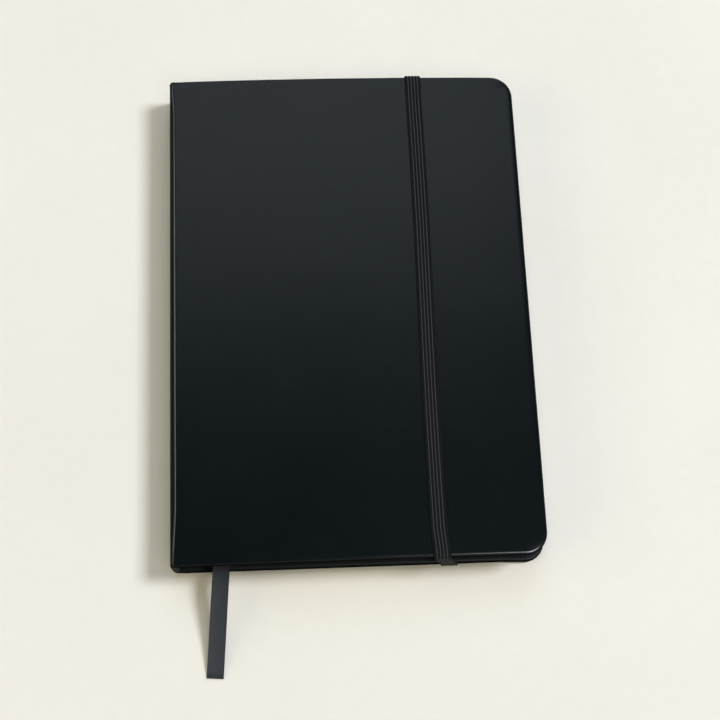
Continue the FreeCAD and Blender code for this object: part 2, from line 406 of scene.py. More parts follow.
# %% [markdown]
# ## A cage that bends several pieces alike
#
# A notebook's cover is never quite flat: glue and damp give it a low crown, and the leatherette spreads a
# little at the ends of the spine. Moving the points by hand would dent the surface. A lattice cage round
# the pieces bends them evenly, and the skin, the board and the endpaper of the front cover get the same
# crown, so they stay nested as they were.

# %% Bend pieces with a lattice
def bend_in_cage(pieces, low, high, counts, shift):
    """Move the points of a cage by shift(place), carry the pieces along, and take the cage away."""
    bpy.ops.object.select_all(action="DESELECT")
    bpy.ops.object.add(type="LATTICE", location=(low + high) / 2)
    cage = bpy.context.object
    cage.data.points_u, cage.data.points_v, cage.data.points_w = counts
    for way in "uvw":
        setattr(cage.data, f"interpolation_type_{way}", "KEY_CATMULL_ROM")
    rest = [point.co.copy() for point in cage.data.points]
    spans = [max(co[i] for co in rest) - min(co[i] for co in rest) for i in range(3)]
    cage.scale = [(high - low)[i] / spans[i] for i in range(3)]
    bpy.context.view_layer.update()
    for point, co in zip(cage.data.points, rest):
        place = cage.matrix_world @ co
        point.co_deform = cage.matrix_world.inverted() @ (place + Vector(shift(place)))
    for piece in pieces:
        add_and_apply(piece, "LATTICE", object=cage)
    bpy.data.objects.remove(cage)


def smooth_step(x):
    x = min(1, max(0, x))
    return x * x * (3 - 2 * x)


# %% The warp of the front cover and the spread at the spine's ends
front_low, front_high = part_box("front_leatherette")
back_low, back_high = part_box("back_leatherette")
crown_height = 1.25 * MM
crown_middle = 4 * MM
crown_reach = 56 * MM
head_spread, head_spread_reach = 0.55 * MM, 12 * MM
tail_spread, tail_spread_reach = 0.75 * MM, 18 * MM
spread_depth = 9 * MM


def crown_at(x):
    return crown_height * (1 - min(1, abs(x - crown_middle) / crown_reach) ** 2)


def crown_shift(place):
    return (0, 0, crown_at(place.x))


def spread_at(place):
    """How far the leatherette spreads outwards at the ends of the spine."""
    if place.y > 0:
        at_end = head_spread * smooth_step(1 - (front_high.y - place.y) / head_spread_reach)
    else:
        at_end = tail_spread * smooth_step(1 - (place.y - front_low.y) / tail_spread_reach)
    return -at_end * smooth_step(1 - (place.x - front_low.x) / spread_depth)


# %% How far the skins stand out over their boards
cover_overhang = 0.33 * MM
back_overhang = 0.42 * MM
back_fore_overhang = 0.8 * MM
corner_fullness = 0.5 * MM


def grows_between(x, start, stop):
    """0 up to the start, 1 from the stop on, and smooth between them. Both are in millimetres."""
    return smooth_step((x - start * MM) / ((stop - start) * MM))


def overhang_at(y, overhang):
    """How far a cover's skin stands out over its board at head and tail."""
    return math.copysign(overhang * grows_between(abs(y), 60, 72), y)


def front_cover_shift(place):
    return (spread_at(place), overhang_at(place.y, cover_overhang), crown_at(place.x))


def back_cover_shift(place):
    fore = back_fore_overhang * grows_between(place.x, 30, 50)
    fuller = corner_fullness * grows_between(place.x, 42, 51) * grows_between(abs(place.y), 63, 73)
    along_y = overhang_at(place.y, back_overhang) + math.copysign(fuller, place.y)
    return (spread_at(place) + fore + fuller, along_y, 0)


# %% [markdown]
# ## Leatherette skins of the two covers
#
# Each cover is a board wrapped in leatherette, which is drawn round the edges and glued down inside in a
# 12 mm turn-in. A subdivided cube would round everything alike. Here each edge gets its own radius: 6.5 mm
# on the two outer corners, a full half-round on the hinge line, so that the cover rolls against the spine
# as it opens, and 0.9 mm round the rim. The outer corners also get the small folds that the maker gathers
# there.

# %% Measures of a cover
cover_corner = 6.5 * MM
rim_radius = 0.9 * MM
turn_in = 12 * MM
turn_in_depth = 0.25 * MM
turn_in_slope = 0.5 * MM
joint_strip = 6.5 * MM
hinges = {joint["name"]: Vector(joint["pos_m"]) for joint in frame["joints"]}
front_hinge = hinges["front_cover_hinge"]
back_hinge = hinges["back_cover_hinge"]
roll_radius = front_high.z - front_hinge.z
window_x = (front_low.x + joint_strip, front_high.x - turn_in)
window_y = front_high.y - turn_in
print("roll radius, mm:", round(roll_radius / MM, 3))

# %% Shape a skin
corner_segments = 14


def in_window(place):
    return window_x[0] < place.x < window_x[1] and abs(place.y) < window_y


def is_rim(edge):
    """Edges that bound the cover's outer band, which runs from spine end to spine end."""
    in_band = [abs(face.normal.z) < 0.01 and face.normal.x > -0.01 for face in edge.link_faces]
    return in_band.count(True) == 1


def shape_skin(name, low, high, inside):
    """A wrapped cover between two corners. Inside is 1 or -1, the way along Z to the pages."""
    skin = new_block(name, low, high)
    start_edit(skin)
    round_edges(edges_at_x(ALONG_Z, high.x), cover_corner, corner_segments)
    round_edges(edges_at_x(ALONG_Y, low.x), roll_radius, 6)
    merge_met()
    rims = round_edges(is_rim, rim_radius, 4)
    cut_across(ALONG_X, window_x)
    cut_across(ALONG_Y, (-window_y, window_y))
    pick("FACE", lambda f: f.normal.z * inside > 0.99 and in_window(f.calc_center_median()))
    bpy.ops.mesh.inset(thickness=turn_in_slope, depth=-turn_in_depth)
    stop_edit()
    print(name, "rim edges:", rims)
    return skin


# %% Gather the corners, cut lines for the bending
pleat_depth = 0.09 * MM
rim_reach = rim_radius * 1.05


def gather_corners(skin, inside):
    """Press every second point of the two round corners in a little, on the inner half of the rim."""
    start_edit(skin)
    step = math.radians(90) / corner_segments
    low, high = (front_low, front_high) if inside < 0 else (back_low, back_high)
    inner = low.z if inside < 0 else high.z

    def in_fold(vertex):
        x = vertex.co.x - (high.x - cover_corner)
        y = abs(vertex.co.y) - (high.y - cover_corner)
        far_out = math.hypot(x, y) > cover_corner - rim_reach
        odd = round(math.atan2(y, x) / step) % 2 == 1
        return x > 0 and y > 0 and far_out and odd and abs(vertex.co.z - inner) < rim_reach

    folds = pick("VERT", in_fold)
    bpy.ops.transform.shrink_fatten(value=-pleat_depth)
    stop_edit()
    print(skin.name, "fold points", folds)


def cut_tail_to_head(half, end_gap, fine_step):
    """Lines across from tail to head, with finer steps near both ends of the spine."""
    cut_across(ALONG_Y, steps_between(-half + 20 * MM, half - 14 * MM, 6 * MM))
    cut_across(ALONG_Y, steps_between(-half + end_gap, -half + 19 * MM, fine_step))
    cut_across(ALONG_Y, steps_between(half - end_gap, half - 13 * MM, fine_step))


def cut_for_bending(skin):
    """Lines across the skin, close together where it has to bend or crumple."""
    start_edit(skin)
    cut_across(ALONG_X, steps_between(front_low.x + 2 * MM, front_low.x + 9 * MM, 1.4 * MM))
    cut_across(ALONG_X, steps_between(front_low.x + 14 * MM, front_high.x - 2 * MM, 5 * MM))
    cut_tail_to_head(front_high.y, 1.2 * MM, 1.5 * MM)
    stop_edit()


# %% [markdown]
# The strap's two ends run under the back cover and through it in a shallow bed. The bed is cut with a
# boolean, the right tool for a sharp recess in a finished form. Cutting it by hand would leave long thin
# faces.

# %% Beds for the strap's ends in the back cover
strap_clear = 0.1 * MM
strap_under_run = 8.55 * MM
bed_overcut = 2 * MM
bed_depth = 0.6 * MM


def cut_bed(skin, node):
    low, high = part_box(node)
    head_end = high.y > 0
    reach = (back_high.y - strap_under_run, high.y + bed_overcut)
    if not head_end:
        reach = (-reach[1], -reach[0])
    bed_low = Vector((low.x - strap_clear, reach[0], -bed_overcut))
    bed_high = Vector((high.x + strap_clear, reach[1], low.z + bed_depth))
    cutter = new_block("bed_cutter", bed_low, bed_high)
    add_and_apply(skin, "BOOLEAN", object=cutter, operation="DIFFERENCE", solver="EXACT")
    bpy.data.objects.remove(cutter)


# %% [markdown]
# Leatherette is glued on wet and never dries quite even. It sags a little between the points where it
# holds, and it crumples where it is folded in at the two ends of the spine. Sculpting could show that, but
# it can't be repeated. A Displace modifier that reads a cloud pattern does the same each time, and a vertex
# group says where.

# %% Unevenness of glued leatherette
sag_size, sag_depth = 16 * MM, 0.10 * MM
crumple_size = 1.8 * MM
cover_crumple, spine_crumple = 0.55 * MM, 0.4 * MM


def make_uneven(piece, grain_size, depth, where):
    """Move the surface in and out by a cloud pattern, as far as where(place) says."""
    clouds = bpy.data.textures.new("glue_unevenness", "CLOUDS")
    clouds.noise_scale = grain_size
    group = piece.vertex_groups.new(name="uneven")
    for vertex in piece.data.vertices:
        group.add([vertex.index], where(vertex.co), "REPLACE")
    add_and_apply(piece, "DISPLACE", texture=clouds, strength=depth, mid_level=0.5, vertex_group="uneven")
    piece.vertex_groups.remove(piece.vertex_groups["uneven"])


def near_spine_end(place):
    """1 at the two ends of the spine, 0 a few millimetres away."""
    from_end = min(front_high.y - place.y, place.y - front_low.y)
    from_spine = place.x - front_low.x
    return smooth_step(1 - from_end / (5 * MM)) * smooth_step(1 - from_spine / (6 * MM))


def away_from_roll(place):
    """0 on the part that rolls against the spine, 1 everywhere else."""
    return smooth_step((place.x - front_low.x - 2 * MM) / (4 * MM))


# %% Both skins
def finish_skin(skin, inside, shift):
    """All that both skins get once their block is shaped."""
    gather_corners(skin, inside)
    cut_for_bending(skin)
    make_uneven(skin, sag_size, sag_depth, away_from_roll)
    make_uneven(skin, crumple_size, cover_crumple, near_spine_end)
    low = Vector((front_low.x, front_low.y, skin.bound_box[0][2]))
    high = Vector((front_high.x, front_high.y, skin.bound_box[6][2]))
    bend_in_cage([skin], low, high, (24, 40, 2), shift)
    shade_soft(skin)


front_skin = shape_skin("front_skin", front_low, front_high, -1)
finish_skin(front_skin, -1, front_cover_shift)
stand_in(front_skin, "front_cover", "front_leatherette")

back_skin = shape_skin("back_skin", back_low, back_high, 1)
cut_bed(back_skin, "elastic_head_anchor")
cut_bed(back_skin, "elastic_tail_anchor")
finish_skin(back_skin, 1, back_cover_shift)
stand_in(back_skin, "back_cover", "back_leatherette")

# %% [markdown]
# ## Front board
#
# The front board has the same warp as its skin, so it can't stay the flat CAD plate: it would show through
# the pastedown in the middle. It is cut as a millboard is, with round outer corners and slightly soft
# edges.

# %% The warped board
board_low, board_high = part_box("front_board")
board_corner = cover_corner - (front_high.x - board_high.x)
board_edge = 0.15 * MM
sheet_cage_points = (24, 8, 2)
front_board_panel = new_block("front_board_panel", board_low, board_high)
start_edit(front_board_panel)
round_edges(edges_at_x(ALONG_Z, board_high.x), board_corner, 10)
round_edges(lambda e: len({round(f.normal.z) for f in e.link_faces}) == 2, board_edge, 2)
cut_across(ALONG_X, steps_between(board_low.x + 4 * MM, board_high.x - 4 * MM, 6 * MM))
stop_edit()
bend_in_cage([front_board_panel], front_low, front_high, sheet_cage_points, crown_shift)
shade_soft(front_board_panel)
stand_in(front_board_panel, "front_cover", "front_board")

# %% [markdown]
# ## Pastedowns
#
# The half of each endpaper that is glued to its board covers the turn-ins and sinks by their thickness
# inside them. That step shows through the paper on every cased book. It could be painted as a bump, but
# then it would be lost in the mesh, so the middle of the sheet is really moved. The step lies between two
# cut lines 0.65 mm apart.

# %% Shape a pastedown
pastedown_corner = 4.0 * MM
paper_thickness = 0.15 * MM
step_out, step_in = 0.55 * MM, 1.2 * MM
slack = 0.05 * MM


def in_sunk_middle(vertex):
    """Whether a point lies within the turn-ins, on the part of the sheet that sinks."""
    past_x = window_x[0] + step_in - slack < vertex.co.x < window_x[1] - step_in + slack
    return past_x and abs(vertex.co.y) < window_y - step_in + slack


def shape_pastedown(name, node, inside):
    low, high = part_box(node)
    if inside < 0:
        high.z = low.z + paper_thickness
    else:
        low.z = high.z - paper_thickness
    sheet = new_block(name, low, high)
    start_edit(sheet)
    round_edges(edges_at_x(ALONG_Z, high.x), pastedown_corner, 8)
    cut_across(ALONG_X, [window_x[0] + step_out, window_x[0] + step_in])
    cut_across(ALONG_X, [window_x[1] - step_in, window_x[1] - step_out])
    for side in (-1, 1):
        cut_across(ALONG_Y, [side * (window_y - step_in), side * (window_y - step_out)])
    cut_across(ALONG_X, steps_between(window_x[0] + 5 * MM, window_x[1] - 5 * MM, 6 * MM))
    cut_across(ALONG_Y, steps_between(6 * MM - window_y, window_y - 6 * MM, 10 * MM))
    pick("VERT", in_sunk_middle)
    bpy.ops.transform.translate(value=(0, 0, -inside * turn_in_depth))
    stop_edit()
    return sheet


front_pastedown_sheet = shape_pastedown("front_pastedown_sheet", "front_pastedown", -1)
bend_in_cage([front_pastedown_sheet], front_low, front_high, sheet_cage_points, crown_shift)
back_pastedown_sheet = shape_pastedown("back_pastedown_sheet", "back_pastedown", 1)
shade_soft(front_pastedown_sheet, 40)
shade_soft(back_pastedown_sheet, 40)
stand_in(front_pastedown_sheet, "front_cover", "front_pastedown")
stand_in(back_pastedown_sheet, "back_cover", "back_pastedown")

# %% [markdown]
# ## Spine skin
#
# Between the two covers the leatherette runs over a thin strip of card, flat, with its ends folded in at
# head and tail. Both covers turn in a half-round of their own, so the skin ends in two hollow lips that hug
# them. The lips could be extruded row by row. A block with a round cut along each hinge gives them their
# exact radius at once. The ends are then pushed outwards a little and crumpled, where the folded
# leatherette is thick.

# %% Shape the spine
spine_low, spine_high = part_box("spine_leatherette")
spine_proud = 0.07 * MM
spine_edge = 0.5 * MM
spine_low = Vector((spine_low.x - spine_proud, spine_low.y, back_hinge.z))
spine_high = Vector((spine_high.x, spine_high.y, front_hinge.z))
spine_skin = new_block("spine_skin", spine_low, spine_high)
start_edit(spine_skin)
round_edges(lambda e: not runs_along(e, ALONG_Y), spine_edge, 4)
cut_across(ALONG_Z, steps_between(spine_low.z + 1.5 * MM, spine_high.z - 1.5 * MM, 1.2 * MM))
cut_tail_to_head(spine_high.y, 0.8 * MM, 1.2 * MM)
stop_edit()

# %% Cut the two hollow lips
lip_radius = roll_radius + 0.03 * MM
lying_along_y = (math.pi / 2, 0, 0)
for hinge in (back_hinge, front_hinge):
    bpy.ops.object.select_all(action="DESELECT")
    bpy.ops.mesh.primitive_cylinder_add(
        vertices=96, radius=lip_radius, depth=200 * MM, location=hinge, rotation=lying_along_y
    )
    cutter = bpy.context.object
    add_and_apply(spine_skin, "BOOLEAN", object=cutter, operation="DIFFERENCE", solver="EXACT")
    bpy.data.objects.remove(cutter)

# %% Spread, crumple and bulge the spine
spine_bulge = 0.12 * MM


def spine_shift(place):
    """The outer face spreads at the ends and bulges a little between them. The inner face stays."""
    overhang = overhang_at(place.y, cover_overhang)
    if place.x > (spine_low.x + spine_high.x) / 2:
        return (0, overhang, 0)
    up = (place.z - spine_low.z) / (spine_high.z - spine_low.z)
    outwards = spread_at(Vector((front_low.x, place.y, 0))) - spine_bulge * math.sin(math.pi * up)
    return (outwards, overhang, 0)


make_uneven(spine_skin, crumple_size, spine_crumple, near_spine_end)
bend_in_cage([spine_skin], spine_low, spine_high, (2, 40, 9), spine_shift)
shade_soft(spine_skin)
stand_in(spine_skin, "book_block", "spine_leatherette")

# %% [markdown]
# ## Leaves that turn
#
# A sewn leaf doesn't pivot: it bends in the few millimetres beside the fold. A rigid sheet on its hinge
# would leave a gap there. So each leaf reaches all the way into the gutter and has closely spaced lines
# there.

# %% Shape the leaves
gutter_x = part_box("section_1")[0].x
page_corner = 4.5 * MM
bend_reach = 4.5 * MM
bend_lines = 18
leaf_count = 4


def shape_leaf(name, node):
    low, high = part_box(node)
    low.x = gutter_x
    sheet = new_block(name, low, high)
    start_edit(sheet)
    round_edges(edges_at_x(ALONG_Z, high.x), page_corner, 8)
    cut_across(ALONG_X, steps_between(gutter_x, gutter_x + bend_reach, bend_reach / bend_lines)[1:])
    stop_edit()
    shade_soft(sheet, 40)
    return sheet


def bind_leaf(node):
    sheet = shape_leaf(f"{node}_sheet", node)
    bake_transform(sheet)
    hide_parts(node)
    return sheet


front_flyleaf_sheet = bind_leaf("front_flyleaf")
back_flyleaf_sheet = bind_leaf("back_flyleaf")
leaf_names = [f"leaf_{number}" for number in range(1, leaf_count + 1)]
page_sheets = [bind_leaf(name) for name in leaf_names]
print("leaves:", 2 + len(page_sheets))

# %% [markdown]
# ## Endpaper folds
#
# Pastedown and flyleaf are two halves of one folded sheet. The fold itself lies in the joint and covers the
# hinge when the book is open. Without it one could look down the joint. It is a narrow strip when the book
# is shut, with many lines across.

# %% Shape the folds
fold_lines = 20
fold_thickness = 0.12 * MM


def shape_fold(name, height):
    x_board = gutter_x + 0.65 * MM
    x_block = gutter_x - 0.3 * MM
    half = front_pastedown_sheet.bound_box[6][1]
    low = Vector((x_block, -half, height - fold_thickness / 2))
    high = Vector((x_board, half, height + fold_thickness / 2))
    fold = new_block(name, low, high)
    start_edit(fold)
    cut_across(ALONG_X, steps_between(x_block, x_board, (x_board - x_block) / fold_lines)[1:-1])
    stop_edit()
    shade_soft(fold, 60)
    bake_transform(fold)
    return fold


front_fold_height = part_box("front_pastedown")[0].z + paper_thickness / 2
back_fold_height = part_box("back_pastedown")[1].z - paper_thickness / 2
front_endpaper_fold = shape_fold("front_endpaper_fold", front_fold_height)
back_endpaper_fold = shape_fold("back_endpaper_fold", back_fold_height)
print("folds:", len(front_endpaper_fold.data.polygons) + len(back_endpaper_fold.data.polygons), "faces")

# %% [markdown]
# ## Elastic strap
#
# The strap is knitted flat elastic with five ribs. It stands on the foot of the tail edge, goes up, over
# the front and down the head edge. A curve with a bevel profile could make it, but it would twist where it
# turns straight up. Drawing the ribbed end face along by extrude and spin keeps the ribs in line all the
# way.

# %% The strap's end face
span_low, span_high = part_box("elastic_front_span")
wrap_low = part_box("elastic_head_wrap")[0]
strap_x = (span_low.x + span_high.x) / 2
strap_width = span_high.x - span_low.x
strap_thickness = span_high.z - span_low.z
strap_foot = wrap_low.z
strap_inner_y = wrap_low.y + cover_overhang
strap_top = span_low.z + crown_at(strap_x)
strap_outer_y = strap_inner_y + strap_thickness
first_length = 1 * MM
rib_count = 5
rib_steps = 6
rib_depth = 0.17 * MM
rib_pitch = strap_width / rib_count

strap_start_low = Vector((span_low.x, -strap_outer_y, strap_foot))
strap_start_high = Vector((span_high.x, -strap_inner_y, strap_foot + first_length))
elastic_band = new_block("elastic_band", strap_start_low, strap_start_high)
start_edit(elastic_band)
rib_lines = steps_between(span_low.x, span_high.x, rib_pitch / rib_steps)
cut_across(ALONG_X, rib_lines[1:-1])


def groove_share(x):
    """1 in the middle of a groove between two ribs, 0 on top of a rib."""
    phase = (x - span_low.x) / rib_pitch
    return round(abs(math.cos(math.pi * phase)) ** 3, 3)


levels = sorted({groove_share(x) for x in rib_lines})
for level in levels:
    pick("VERT", lambda v: same_place(v.co.y, -strap_outer_y) and groove_share(v.co.x) == level)
    bpy.ops.transform.translate(value=(0, rib_depth * level, 0))
print("strap end face:", len(levels), "levels in each rib")


# %% Draw the end face along the strap's path
strap_bend = 1.0 * MM
bend_steps = 7
up_step, across_step = 1.2 * MM, 2.5 * MM


def draw_along(axis, start, stop, step):
    """Extrude the end face in steps along an axis."""

    def is_end(face):
        return abs(face.normal[axis]) > 0.99 and same_place(face.calc_center_median()[axis], start)

    pick("FACE", is_end)
    places = steps_between(start, stop, step)
    for before, after in zip(places, places[1:]):
        move = [0, 0, 0]
        move[axis] = after - before
        bpy.ops.mesh.extrude_region_move(TRANSFORM_OT_translate={"value": move})


def turn_corner(center):
    bpy.ops.mesh.spin(steps=bend_steps, angle=math.radians(90), center=center, axis=(1, 0, 0))


bend_z = strap_top - strap_bend
bend_y = strap_inner_y - strap_bend
draw_along(ALONG_Z, strap_foot + first_length, bend_z, up_step)
turn_corner((strap_x, -bend_y, bend_z))
draw_along(ALONG_Y, -bend_y, bend_y, across_step)
turn_corner((strap_x, bend_y, bend_z))
draw_along(ALONG_Z, bend_z, strap_foot, up_step)
merge_met()
bpy.ops.mesh.select_all(action="SELECT")
bpy.ops.mesh.normals_make_consistent(inside=False)
stop_edit()
print("elastic_band:", len(elastic_band.data.polygons), "faces")

# %% [markdown]
# The pattern of the knit has to follow the strap round its corners and through its slant at the tail. A
# pattern on the plain coordinates would run off the side there. So each point keeps two numbers from before
# the slant: how far across it is, and how far along.

# %% Keep how far across and along each point is
def store(piece, name, values):
    attribute = piece.data.attributes.new(name, "FLOAT", "POINT")
    attribute.data.foreach_set("value", values)


def along_strap(co):
    """Millimetres along the strap from the middle of the book."""
    down = max(0, strap_top - co.z)
    return (co.y + math.copysign(down, co.y)) / MM


store(elastic_band, "across", [(v.co.x - strap_x) / strap_width for v in elastic_band.data.vertices])
store(elastic_band, "along", [along_strap(v.co) for v in elastic_band.data.vertices])

# %% Sway and slant the strap
tail_foot_low, tail_foot_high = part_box("elastic_tail_anchor")
tail_slant = (tail_foot_low.x + tail_foot_high.x) / 2 - strap_x
early_slant = 0.5 * MM
slant_reach = 9 * MM
strap_sway = 0.18 * MM
sway_length = 21 * MM
sway_ends_within = 20 * MM


def strap_shift(place):
    """A slight sway on the cover, and a slant that grows down the tail edge."""
    on_cover = early_slant * smooth_step((front_low.y + slant_reach - place.y) / slant_reach)
    down = min(1, max(0, (strap_top - place.z) / (strap_top - strap_foot)))
    at_tail = grows_between(-place.y, 66, 72)
    sway = strap_sway * math.sin(place.y / sway_length)
    sway *= smooth_step((strap_inner_y - abs(place.y)) / sway_ends_within)
    return (on_cover + at_tail * (tail_slant - early_slant) * down + sway, 0, 0)


cage_room = 1 * MM
strap_cage_low = Vector((span_low.x, -strap_inner_y - cage_room, 0))
strap_cage_high = Vector((span_high.x, strap_inner_y + cage_room, strap_top + cage_room))
bend_in_cage([elastic_band], strap_cage_low, strap_cage_high, (2, 48, 10), strap_shift)
shade_soft(elastic_band, 50)
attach(elastic_band, "elastic_strap")
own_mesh(elastic_band)
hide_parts("elastic_front_span", "elastic_head_wrap", "elastic_tail_wrap")

# %% [markdown]
# ## Finishes
#
# A finish is one material. Its nodes could be placed and linked one by one, but then the pattern is hard to
# see among the links. The two classes below let us write a pattern as plain arithmetic: a Signal stands for
# a value that changes over the surface, and each sum or product with it adds one Math node.

# %% A signal
class Signal:
    """A number in a finish that changes over the surface."""

    def __init__(self, finish, socket):
        self.finish = finish
        self.socket = socket

    def math_node(self, operation, *values):
        return self.finish.add("ShaderNodeMath", {"operation": operation}, dict(enumerate(values)))

    def __add__(self, other):
        return self.math_node("ADD", self, other)

    def __sub__(self, other):
        return self.math_node("SUBTRACT", self, other)

    def __rsub__(self, other):
        return self.math_node("SUBTRACT", other, self)

    def __mul__(self, other):
        return self.math_node("MULTIPLY", self, other)

    def __truediv__(self, other):
        return self.math_node("DIVIDE", self, other)

    def __rtruediv__(self, other):
        return self.math_node("DIVIDE", other, self)

    def __pow__(self, other):
        return self.math_node("POWER", self, other)

    __radd__ = __add__
    __rmul__ = __mul__

    def sine(self):
        return self.math_node("SINE", self)

    def size(self):
        return self.math_node("ABSOLUTE", self)

    def over(self, limit):
        return self.math_node("GREATER_THAN", self, limit)


# %% A finish
class Finish:
    """A material with one Principled shader. Fixed numbers are set on the shader's own sockets."""

    def __init__(self, name, colour, **fixed):
        self.material = bpy.data.materials.new(name)
        self.material.use_nodes = True
        self.nodes = self.material.node_tree.nodes
        self.links = self.material.node_tree.links
        self.nodes.clear()
        self.shader = self.nodes.new("ShaderNodeBsdfPrincipled")
        self.output = self.nodes.new("ShaderNodeOutputMaterial")
        self.links.new(self.shader.outputs[0], self.output.inputs["Surface"])
        self.shader.inputs["Base Color"].default_value = (*colour, 1)
        for socket, value in fixed.items():
            self.shader.inputs[socket.replace("_", " ")].default_value = value
        self.place = self.add("ShaderNodeTexCoord", output="Object")

    def feed(self, socket, value):
        """Link a signal to a socket, or set a plain number or colour on it."""
        if isinstance(value, Signal):
            self.links.new(value.socket, socket)
        else:
            socket.default_value = value

    def add(self, kind, settings=None, inputs=None, output=0):
        """Add any node: first its settings, then its sockets, by name or number."""
        node = self.nodes.new(kind)
        for setting, value in (settings or {}).items():
            setattr(node, setting, value)
        for socket, value in (inputs or {}).items():
            self.feed(node.inputs[socket], value)
        return Signal(self, node.outputs[output])

    def noise(self, scale, detail=2, place=None):
        inputs = {"Vector": place or self.place, "Scale": scale, "Detail": detail}
        return self.add("ShaderNodeTexNoise", inputs=inputs)

    def stretched(self, scale):
        return self.add("ShaderNodeMapping", inputs={"Vector": self.place, "Scale": scale})

    def part(self, vector, axis):
        """One of the three numbers of a vector."""
        return self.add("ShaderNodeSeparateXYZ", inputs={0: vector}, output=axis)

    def axis(self, axis):
        return self.part(self.place, axis)

    def wave(self, along, pitch):
        """A wave from 0 to 1 that repeats at every pitch."""
        return (along * (2 * math.pi / pitch)).sine() * 0.5 + 0.5

    def kept(self, name):
        """A number that was stored on the mesh."""
        return self.add("ShaderNodeAttribute", {"attribute_name": name}, output="Fac")

    def blend_colours(self, share, first, second):
        inputs = {mix_share: share, mix_first: first, mix_second: second}
        return self.add("ShaderNodeMix", {"data_type": "RGBA"}, inputs, output=mix_result)

    def colour(self, share, first, second):
        self.feed(self.shader.inputs["Base Color"], self.blend_colours(share, (*first, 1), (*second, 1)))

    def roughness(self, signal):
        self.feed(self.shader.inputs["Roughness"], signal)

    def relief(self, height, depth, strength=1.0):
        """Raise the surface by a height from 0 to 1, at most depth metres."""
        inputs = {"Height": height, "Distance": depth, "Strength": strength}
        bump = self.add("ShaderNodeBump", inputs=inputs)
        self.feed(self.shader.inputs["Normal"], bump)

    def cover_with_matt(self, share, colour, at_most=0.9):
        """Show a matt surface with no sheen instead, as far as the share says."""
        within = self.add("ShaderNodeMath", {"operation": "MINIMUM"}, {0: share, 1: at_most})
        matt = self.add("ShaderNodeBsdfDiffuse", inputs={"Color": (*colour, 1)})
        inputs = {0: within, 1: Signal(self, self.shader.outputs[0]), 2: matt}
        mixed = self.add("ShaderNodeMixShader", inputs=inputs)
        self.feed(self.output.inputs["Surface"], mixed)


def dress(finish, *pieces):
    for piece in pieces:
        piece.data.materials.clear()
        piece.data.materials.append(finish.material)


# %% [markdown]
# Leatherette is a coat of coloured plastic on cloth, pressed with a very fine grain. It is nearly black, so
# nearly all that is seen is the sheen on it: the roughness matters more than the colour. Small pores, a
# finer grain and faint cloudy patches keep the sheen from looking like paint. Hands rub the front cover
# smooth, most of all along its rolled edge, and never reach its sides, the back's lip or the joint. That
# could be painted by hand as a mask. Here the roughness is read from how the surface faces: lowest where it
# starts to roll over, and high where it stands upright. On both covers the upright sides also turn into a
# sheenless black: painted shade that keeps the rims and the back's lip dark.

# %% Leatherette
rubbed_tilt, rubbed_spread = 0.07, 0.035
# The black of the painted shade on the covers' upright sides.
painted_shade_black = (0.0012, 0.0014, 0.0017)


def make_leatherette(name, dullness, sheen, painted_shade_sides):
    skin = Finish(name, (0.0012, 0.0032, 0.0040), Specular_IOR_Level=sheen)
    patches = skin.noise(38, 4)
    fine_grain = skin.noise(2600, 3)
    pores = skin.add("ShaderNodeTexVoronoi", inputs={"Vector": skin.place, "Scale": 1700})
    skin.colour(patches, (0.0008, 0.0028, 0.0036), (0.0016, 0.0038, 0.0046))
    facing = skin.add("ShaderNodeTexCoord", output="Normal")
    # 0 where the surface lies level, 1 where it stands upright.
    on_side = 1 - skin.part(facing, "Z").size()
    rubbed = 1 / (1 + ((on_side - rubbed_tilt) / rubbed_spread) ** 2)
    skin.roughness(dullness + patches * 0.06 + fine_grain * 0.06 - rubbed * 0.15 + on_side * on_side * 4)
    skin.relief(fine_grain * 0.6 + pores * 0.5, 0.02 * MM, 0.35)
    # Painted shade: the upright sides are swapped for a sheenless black so that they stay dark as if
    # shaded.
    if painted_shade_sides:
        skin.cover_with_matt(on_side * on_side * 2.7, painted_shade_black)
    return skin


dress(make_leatherette("rubbed_leatherette", 0.23, sheen=0.25, painted_shade_sides=True), front_skin)
dress(make_leatherette("dull_leatherette", 0.45, sheen=0.1, painted_shade_sides=True), back_skin)
dress(make_leatherette("folded_leatherette", 0.35, sheen=0.25, painted_shade_sides=False), spine_skin)

# %% [markdown]
# The strap is a dull black knit. Each rib is a row of tiny slanted stitches, and a paler rubber thread lies
# in each groove between two ribs. A wave texture would draw straight rows. The stitches slant because the
# wave along the strap is shifted by how high the rib stands.

# %% Elastic
stitch_length = 0.5
stitch_slant = 1.6
outermost_thread = 0.44
elastic = Finish("elastic_knit", (0.004, 0.004, 0.005), Specular_IOR_Level=0.12)
on_rib = ((elastic.kept("across") + 0.5) * (rib_count * math.pi)).sine().size()
groove = (1 - on_rib) ** 3
stitch = (elastic.kept("along") * (2 * math.pi / stitch_length) + on_rib * stitch_slant).sine() * 0.5 + 0.5
fuzz = elastic.noise(3000, 2)
away_from_sides = 1 - elastic.kept("across").size().over(outermost_thread)
thread_colour = groove * away_from_sides * (0.6 + fuzz * 0.6)
elastic.colour(thread_colour, (0.0035, 0.0042, 0.0055), (0.075, 0.078, 0.085))
elastic.roughness(0.75 + fuzz * 0.2)
elastic.relief(stitch * 0.7 + fuzz * 0.3, 0.05 * MM, 0.6)
dress(elastic, elastic_band)

# %% Ends of the strap
strap_ends = [frame["nodes"][f"elastic_{end}_anchor"] for end in ("head", "tail")]
elastic_end = Finish("elastic_end_knit", (0.006, 0.006, 0.007), Roughness=0.7)
rows = elastic_end.wave(elastic_end.axis("Y"), stitch_length * MM)
ribs = (elastic_end.axis("X") * (math.pi / rib_pitch)).sine().size()
elastic_end.colour(ribs, (0.012, 0.012, 0.013), (0.005, 0.005, 0.006))
elastic_end.relief(rows * 0.4 + ribs * 0.6, 0.08 * MM, 0.7)
dress(elastic_end, *strap_ends)
